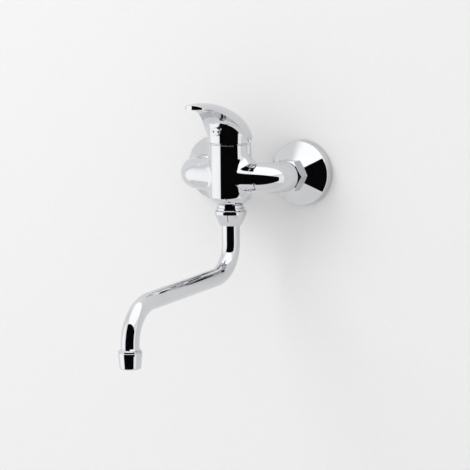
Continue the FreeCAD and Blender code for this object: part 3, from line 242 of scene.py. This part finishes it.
filled_plastic = moulded_plastic(
    "filled_plastic", FILLED_GREY, FILLED_GREY_DARK, roughness=0.5, depth=0.00003
)
put_on(filled_plastic, "disc_carrier", "lever_turret")


# ---------------------------------------------------------------------------
# The spindle, its hinge pin and the grub screw: turned steel. The pin passes
# through turret and spindle, and the screw clamps the handle on the spindle.
# ---------------------------------------------------------------------------
STEEL_LIGHT = (0.60, 0.60, 0.60, 1.0)
STEEL_DARK = (0.47, 0.47, 0.48, 1.0)

turned_steel, nodes, links, shader = shader_of("turned_steel")
streaks = grain(nodes, links, scale=500.0, detail=4.0, stretch=(1.0, 1.0, 6.0))
shader.inputs["Metallic"].default_value = 1.0
tone = two_tones(nodes, links, streaks, STEEL_DARK, STEEL_LIGHT)
links.new(tone, shader.inputs["Base Color"])
links.new(between(nodes, links, streaks, start=0.2, end=0.36), shader.inputs["Roughness"])
raise_by(nodes, links, shader, streaks, depth=0.000008)
put_on(turned_steel, "lever_spindle", "spindle_pin", "grub_screw")


# ---------------------------------------------------------------------------
# The cartridge nut: a brass ring with an outer thread, screwed down into the
# barrel to hold the cartridge on its seals, hidden by the ring above it.
# ---------------------------------------------------------------------------
NUT_THREADS_PER_METRE = 1000.0
NUT_THREAD_DEPTH = 0.00015

nut_brass = machined_brass("nut_brass", "Z", NUT_THREADS_PER_METRE, NUT_THREAD_DEPTH)
put_on(nut_brass, "cartridge_nut")


# ---------------------------------------------------------------------------
# The cover ring: a thin turned brass ring, chrome plated, laid on top of the
# barrel so that the handle has a clean edge under it at every angle.
# ---------------------------------------------------------------------------
ring_chrome = plated_chrome("ring_chrome", smooth=0.012, dull=0.04, wave=0.000002)
put_on(ring_chrome, "cover_ring")


# ---------------------------------------------------------------------------
# The lever handle: one zinc casting, a foot that covers the cartridge and a
# blade for the hand that sweeps up and forward, polished and chrome plated.
# ---------------------------------------------------------------------------
handle_chrome = plated_chrome("handle_chrome", smooth=0.015, dull=0.05, wave=0.000008, patch=42.0)
put_on(handle_chrome, "lever_handle")


# ---------------------------------------------------------------------------
# The index plug: a small round cap of plated plastic pushed into the handle
# over its screw, with a red and a blue inlay for hot and cold.
# ---------------------------------------------------------------------------
RED_INLAY = (0.55, 0.03, 0.05, 1.0)
RED_INLAY_DEEP = (0.42, 0.02, 0.035, 1.0)
BLUE_INLAY = (0.03, 0.09, 0.45, 1.0)
BLUE_INLAY_DEEP = (0.02, 0.06, 0.34, 1.0)
INLAY_ROUGHNESS = 0.22
INLAY_PEEL = 0.000005

plug_cap = plated_chrome("plug_cap", smooth=0.03, dull=0.09, wave=0.000003)
hot_inlay = moulded_plastic(
    "hot_inlay", RED_INLAY, RED_INLAY_DEEP, INLAY_ROUGHNESS, INLAY_PEEL
)
cold_inlay = moulded_plastic(
    "cold_inlay", BLUE_INLAY, BLUE_INLAY_DEEP, INLAY_ROUGHNESS, INLAY_PEEL
)
put_on(plug_cap, "index_plug")
put_on(hot_inlay, "hot_mark")
put_on(cold_inlay, "cold_mark")


# ---------------------------------------------------------------------------
# The swivel ferrule: a turned brass sleeve that turns in the foot of the body
# on two O-rings. The spout tube is brazed into it and the nut holds it up.
# ---------------------------------------------------------------------------
ferrule_brass = machined_brass("ferrule_brass", "Z")
put_on(ferrule_brass, "spout_ferrule")


# ---------------------------------------------------------------------------
# The spout: one drawn brass tube with two bends, brazed to the ferrule above
# and to a short threaded bush at its end, then polished and chrome plated.
# ---------------------------------------------------------------------------
drawn_chrome = plated_chrome("drawn_chrome", smooth=0.012, dull=0.045, wave=0.000006, patch=34.0)
put_on(drawn_chrome, "spout_tube", "spout_end_bush")


# ---------------------------------------------------------------------------
# The aerator: a chrome plated brass shell screwed on the end of the spout and
# a moulded insert that breaks the jet up with air.
# ---------------------------------------------------------------------------
JET_PLASTIC = (0.74, 0.75, 0.75, 1.0)
JET_PLASTIC_SHADE = (0.64, 0.65, 0.66, 1.0)

shell_chrome = plated_chrome("shell_chrome", smooth=0.015, dull=0.05, wave=0.000003)
jet_plastic = moulded_plastic("jet_plastic", JET_PLASTIC, JET_PLASTIC_SHADE, roughness=0.35)
put_on(shell_chrome, "aerator_housing")
put_on(jet_plastic, "aerator_insert")


# ---------------------------------------------------------------------------
# The wall and the floor of the studio: pale matt paint. The tap hangs on the
# wall, and the floor lies under the frame of the photograph. Both are clear
# from behind, so that the tap can be looked at from there.
# ---------------------------------------------------------------------------
WALL_PAINT = (0.86, 0.86, 0.86, 1.0)
WALL_PAINT_SHADE = (0.85, 0.85, 0.85, 1.0)
WALL_PLANE = 0.0004
WALL_HALF_WIDTH = 2.4
WALL_TOP = 1.6
FLOOR_LEVEL = -1.45
FLOOR_FRONT = -1.3


def flat_sheet(name, corners, faces):
    """A flat sheet of the studio. Its corners run anticlockwise seen from the front."""
    mesh = bpy.data.meshes.new(name)
    mesh.from_pydata(corners, [], faces)
    sheet = bpy.data.objects.new(name, mesh)
    bpy.context.scene.collection.objects.link(sheet)
    return sheet


def matt_paint(name):
    """Rolled matt paint with its faint stipple, clear from behind."""
    finish, nodes, links, shader = shader_of(name)
    stipple = grain(nodes, links, scale=220.0, detail=3.0)
    tone = two_tones(nodes, links, stipple, WALL_PAINT_SHADE, WALL_PAINT)
    links.new(tone, shader.inputs["Base Color"])
    shader.inputs["Roughness"].default_value = 0.9
    shader.inputs["Specular IOR Level"].default_value = 0.1
    facing = nodes.new("ShaderNodeNewGeometry")
    clear = nodes.new("ShaderNodeBsdfTransparent")
    either = nodes.new("ShaderNodeMixShader")
    links.new(facing.outputs["Backfacing"], either.inputs["Fac"])
    links.new(shader.outputs["BSDF"], either.inputs[1])
    links.new(clear.outputs["BSDF"], either.inputs[2])
    links.new(either.outputs["Shader"], nodes["Material Output"].inputs["Surface"])
    return finish


wall = flat_sheet(
    "studio_wall",
    [
        (-WALL_HALF_WIDTH, WALL_PLANE, FLOOR_LEVEL),
        (WALL_HALF_WIDTH, WALL_PLANE, FLOOR_LEVEL),
        (WALL_HALF_WIDTH, WALL_PLANE, WALL_TOP),
        (-WALL_HALF_WIDTH, WALL_PLANE, WALL_TOP),
    ],
    [(0, 1, 2, 3)],
)
wall.data.materials.append(matt_paint("wall_paint"))
floor = flat_sheet(
    "studio_floor",
    [
        (-WALL_HALF_WIDTH, FLOOR_FRONT, FLOOR_LEVEL),
        (WALL_HALF_WIDTH, FLOOR_FRONT, FLOOR_LEVEL),
        (WALL_HALF_WIDTH, WALL_PLANE, FLOOR_LEVEL),
        (-WALL_HALF_WIDTH, WALL_PLANE, FLOOR_LEVEL),
    ],
    [(0, 1, 2, 3)],
)
floor.data.materials.append(matt_paint("floor_paint"))


# ---------------------------------------------------------------------------
# The light: a white tent with one dark opening towards the room, which is what
# the chrome shows, and a large soft lamp high on the left for the shadows. The
# opening is a black card one metre in front that only reflections see.
# ---------------------------------------------------------------------------
TENT_LIGHT = 0.86
BACKDROP = (0.86, 0.86, 0.86, 1.0)
CARD_PLANE = -1.06
CARD_TOP = 0.57
CARD_BOTTOM = -1.0
CARD_LEFT = -0.40
CARD_LEFT_TOP = -0.51
CARD_LEFT_BOTTOM = -0.59
CARD_RIGHT = 3.35
CARD_BLACK = (0.003, 0.003, 0.0033, 1.0)
# The edges of the soft box and of the left panel, from where each begins to
# where it is full.
SOFTBOX_LEFT_EDGE = (-1.03, -0.33)
SOFTBOX_RIGHT_EDGE = (2.2, 1.5)
SOFTBOX_FRONT_EDGE = (2.15, 1.95)
HORIZON_EDGE = (0.0, 0.1)
LEFT_PANEL_SLANT = 0.6
LEFT_PANEL_EDGE = (-0.05, 0.15)
# The strength of each in reflections, where 1 is white. The soft box is above that.
TENT_LEVEL = 0.88
LEFT_PANEL_GAIN = 0.43
RIGHT_PANEL_GAIN = 0.26
SOFTBOX_LEVEL = 1.45
SHADOW_LAMP_PLACE = Vector((-1.25, -1.7, 1.35))
SHADOW_LAMP_AIM = Vector((0.0, -0.05, 0.0))
SHADOW_LAMP_SIZE = 1.5
SHADOW_LAMP_POWER = 18.0

black_card = flat_sheet(
    "black_card",
    [
        (CARD_LEFT_BOTTOM, CARD_PLANE, CARD_BOTTOM),
        (CARD_RIGHT, CARD_PLANE, CARD_BOTTOM),
        (CARD_RIGHT, CARD_PLANE, CARD_TOP),
        (CARD_LEFT_TOP, CARD_PLANE, CARD_TOP),
        (CARD_LEFT, CARD_PLANE, 0.0),
    ],
    [(0, 1, 4), (1, 2, 4), (2, 3, 4)],
)
card_paint, nodes, links, shader = shader_of("card_paint")
shader.inputs["Base Color"].default_value = CARD_BLACK
shader.inputs["Roughness"].default_value = 1.0
shader.inputs["Specular IOR Level"].default_value = 0.0
black_card.data.materials.append(card_paint)
black_card.visible_camera = False
black_card.visible_diffuse = False
black_card.visible_transmission = False
black_card.visible_shadow = False

studio = bpy.data.worlds.new("studio")
bpy.context.scene.world = studio
studio.use_nodes = True
nodes, links = studio.node_tree.nodes, studio.node_tree.links
nodes.clear()
direction = nodes.new("ShaderNodeTexCoord").outputs["Generated"]


def along(vector):
    """How far a direction of the tent points along a vector."""
    product = nodes.new("ShaderNodeVectorMath")
    product.operation = "DOT_PRODUCT"
    product.inputs[1].default_value = vector
    links.new(direction, product.inputs[0])
    return product.outputs["Value"]


def worked(operation, first, second=None, number=None):
    """One step of arithmetic on the tent's pattern, with a second pattern or a number."""
    step = nodes.new("ShaderNodeMath")
    step.operation = operation
    links.new(first, step.inputs[0])
    if second is not None:
        links.new(second, step.inputs[1])
    if number is not None:
        step.inputs[1].default_value = number
    return step.outputs["Value"]


def soft_edge(value, edge):
    """0 where the edge begins, 1 where it ends, smooth between them."""
    step = nodes.new("ShaderNodeMapRange")
    step.interpolation_type = "SMOOTHSTEP"
    step.inputs["From Min"].default_value, step.inputs["From Max"].default_value = edge
    links.new(value, step.inputs["Value"])
    return step.outputs["Result"]


to_right = along(Vector((1.0, 0.0, 0.0)))
to_room = along(Vector((0.0, -1.0, 0.0)))
to_top = along(Vector((0.0, 0.0, 1.0)))

# The soft box above, measured on a pane one metre over the tap.
ceiling_right = worked("DIVIDE", to_right, to_top)
ceiling_front = worked("DIVIDE", to_room, to_top)
box_across = worked(
    "MULTIPLY",
    soft_edge(ceiling_right, SOFTBOX_LEFT_EDGE),
    soft_edge(ceiling_right, SOFTBOX_RIGHT_EDGE),
)
box_deep = worked(
    "MULTIPLY",
    soft_edge(ceiling_front, SOFTBOX_FRONT_EDGE),
    soft_edge(to_top, HORIZON_EDGE),
)
soft_box = worked("MULTIPLY", box_across, box_deep)


def glow_towards(degrees, rise, reach, amount):
    """A soft brighter patch of the tent round one direction, in degrees."""
    turned, lifted = math.radians(degrees), math.radians(rise)
    across = math.cos(lifted)
    middle = Vector((math.sin(turned) * across, -math.cos(turned) * across, math.sin(lifted)))
    patch = soft_edge(along(middle), (math.cos(math.radians(reach)), 1.0))
    return worked("MULTIPLY", patch, number=amount)


# The side panels. A slanted edge keeps the left one off the rosette beside it.
left_glow = glow_towards(degrees=-58.0, rise=-6.0, reach=54.0, amount=LEFT_PANEL_GAIN)
right_glow = glow_towards(degrees=90.0, rise=-4.0, reach=40.0, amount=RIGHT_PANEL_GAIN)
slanted = worked("SUBTRACT", to_room, worked("MULTIPLY", to_top, number=LEFT_PANEL_SLANT))
left_panel = worked("MULTIPLY", left_glow, soft_edge(slanted, LEFT_PANEL_EDGE))
glows = worked("ADD", left_panel, right_glow)
tent = worked("ADD", glows, number=TENT_LEVEL)
boxed = nodes.new("ShaderNodeMix")
boxed.inputs[3].default_value = SOFTBOX_LEVEL
links.new(soft_box, boxed.inputs[0])
links.new(tent, boxed.inputs[2])

seen_in_chrome = nodes.new("ShaderNodeBackground")
seen_in_chrome.inputs["Color"].default_value = (1.0, 1.0, 1.0, 1.0)
links.new(boxed.outputs[0], seen_in_chrome.inputs["Strength"])
soft_light = nodes.new("ShaderNodeBackground")
soft_light.inputs["Color"].default_value = (1.0, 1.0, 1.0, 1.0)
soft_light.inputs["Strength"].default_value = TENT_LIGHT
backdrop = nodes.new("ShaderNodeBackground")
backdrop.inputs["Color"].default_value = BACKDROP
ray = nodes.new("ShaderNodeLightPath")
light_or_chrome = nodes.new("ShaderNodeMixShader")
links.new(ray.outputs["Is Glossy Ray"], light_or_chrome.inputs["Fac"])
links.new(soft_light.outputs["Background"], light_or_chrome.inputs[1])
links.new(seen_in_chrome.outputs["Background"], light_or_chrome.inputs[2])
or_backdrop = nodes.new("ShaderNodeMixShader")
links.new(ray.outputs["Is Camera Ray"], or_backdrop.inputs["Fac"])
links.new(light_or_chrome.outputs["Shader"], or_backdrop.inputs[1])
links.new(backdrop.outputs["Background"], or_backdrop.inputs[2])
out = nodes.new("ShaderNodeOutputWorld")
links.new(or_backdrop.outputs["Shader"], out.inputs["Surface"])

lamp_data = bpy.data.lights.new("soft_lamp", "AREA")
lamp_data.shape = "SQUARE"
lamp_data.size = SHADOW_LAMP_SIZE
lamp_data.energy = SHADOW_LAMP_POWER
lamp = bpy.data.objects.new("soft_lamp", lamp_data)
bpy.context.scene.collection.objects.link(lamp)
lamp.location = SHADOW_LAMP_PLACE
lamp.rotation_euler = (SHADOW_LAMP_AIM - SHADOW_LAMP_PLACE).to_track_quat("-Z", "Y").to_euler()
lamp.visible_glossy = False
lamp.visible_camera = False


# ---------------------------------------------------------------------------
# The camera: a long lens three metres off, a little above the tap and to its
# right, turned so that the tap sits in the frame as in the photograph.
# ---------------------------------------------------------------------------
CAMERA_PLACE = Vector((1.599914, -2.629343, 0.374518))
CAMERA_RIGHT = Vector((0.85115864, 0.52482146, -0.00956087))
CAMERA_UP = Vector((-0.06624719, 0.12547316, 0.98988272))
CAMERA_BACK = Vector((0.52071132, -0.84191385, 0.14156551))
AXIS_AWAY_RIGHT = -0.001664
AXIS_AWAY_UP = -0.000406
LENS_LENGTH = 233.87
SENSOR_WIDTH = 36.0
FARTHEST_SEEN = 50.0

# The photograph's middle lies a little off the lens's axis, so the camera turns by that.
back = (CAMERA_BACK - AXIS_AWAY_RIGHT * CAMERA_RIGHT - AXIS_AWAY_UP * CAMERA_UP).normalized()
right = (CAMERA_RIGHT - CAMERA_RIGHT.dot(back) * back).normalized()
up = back.cross(right)
camera_data = bpy.data.cameras.new("camera")
camera_data.sensor_fit = "HORIZONTAL"
camera_data.sensor_width = SENSOR_WIDTH
camera_data.lens = LENS_LENGTH
camera_data.clip_end = FARTHEST_SEEN
camera = bpy.data.objects.new("camera", camera_data)
bpy.context.scene.collection.objects.link(camera)
camera.matrix_world = Matrix(
    (
        (right.x, up.x, back.x, CAMERA_PLACE.x),
        (right.y, up.y, back.y, CAMERA_PLACE.y),
        (right.z, up.z, back.z, CAMERA_PLACE.z),
        (0.0, 0.0, 0.0, 1.0),
    )
)
bpy.context.scene.camera = camera
bpy.context.scene.view_settings.view_transform = "Standard"
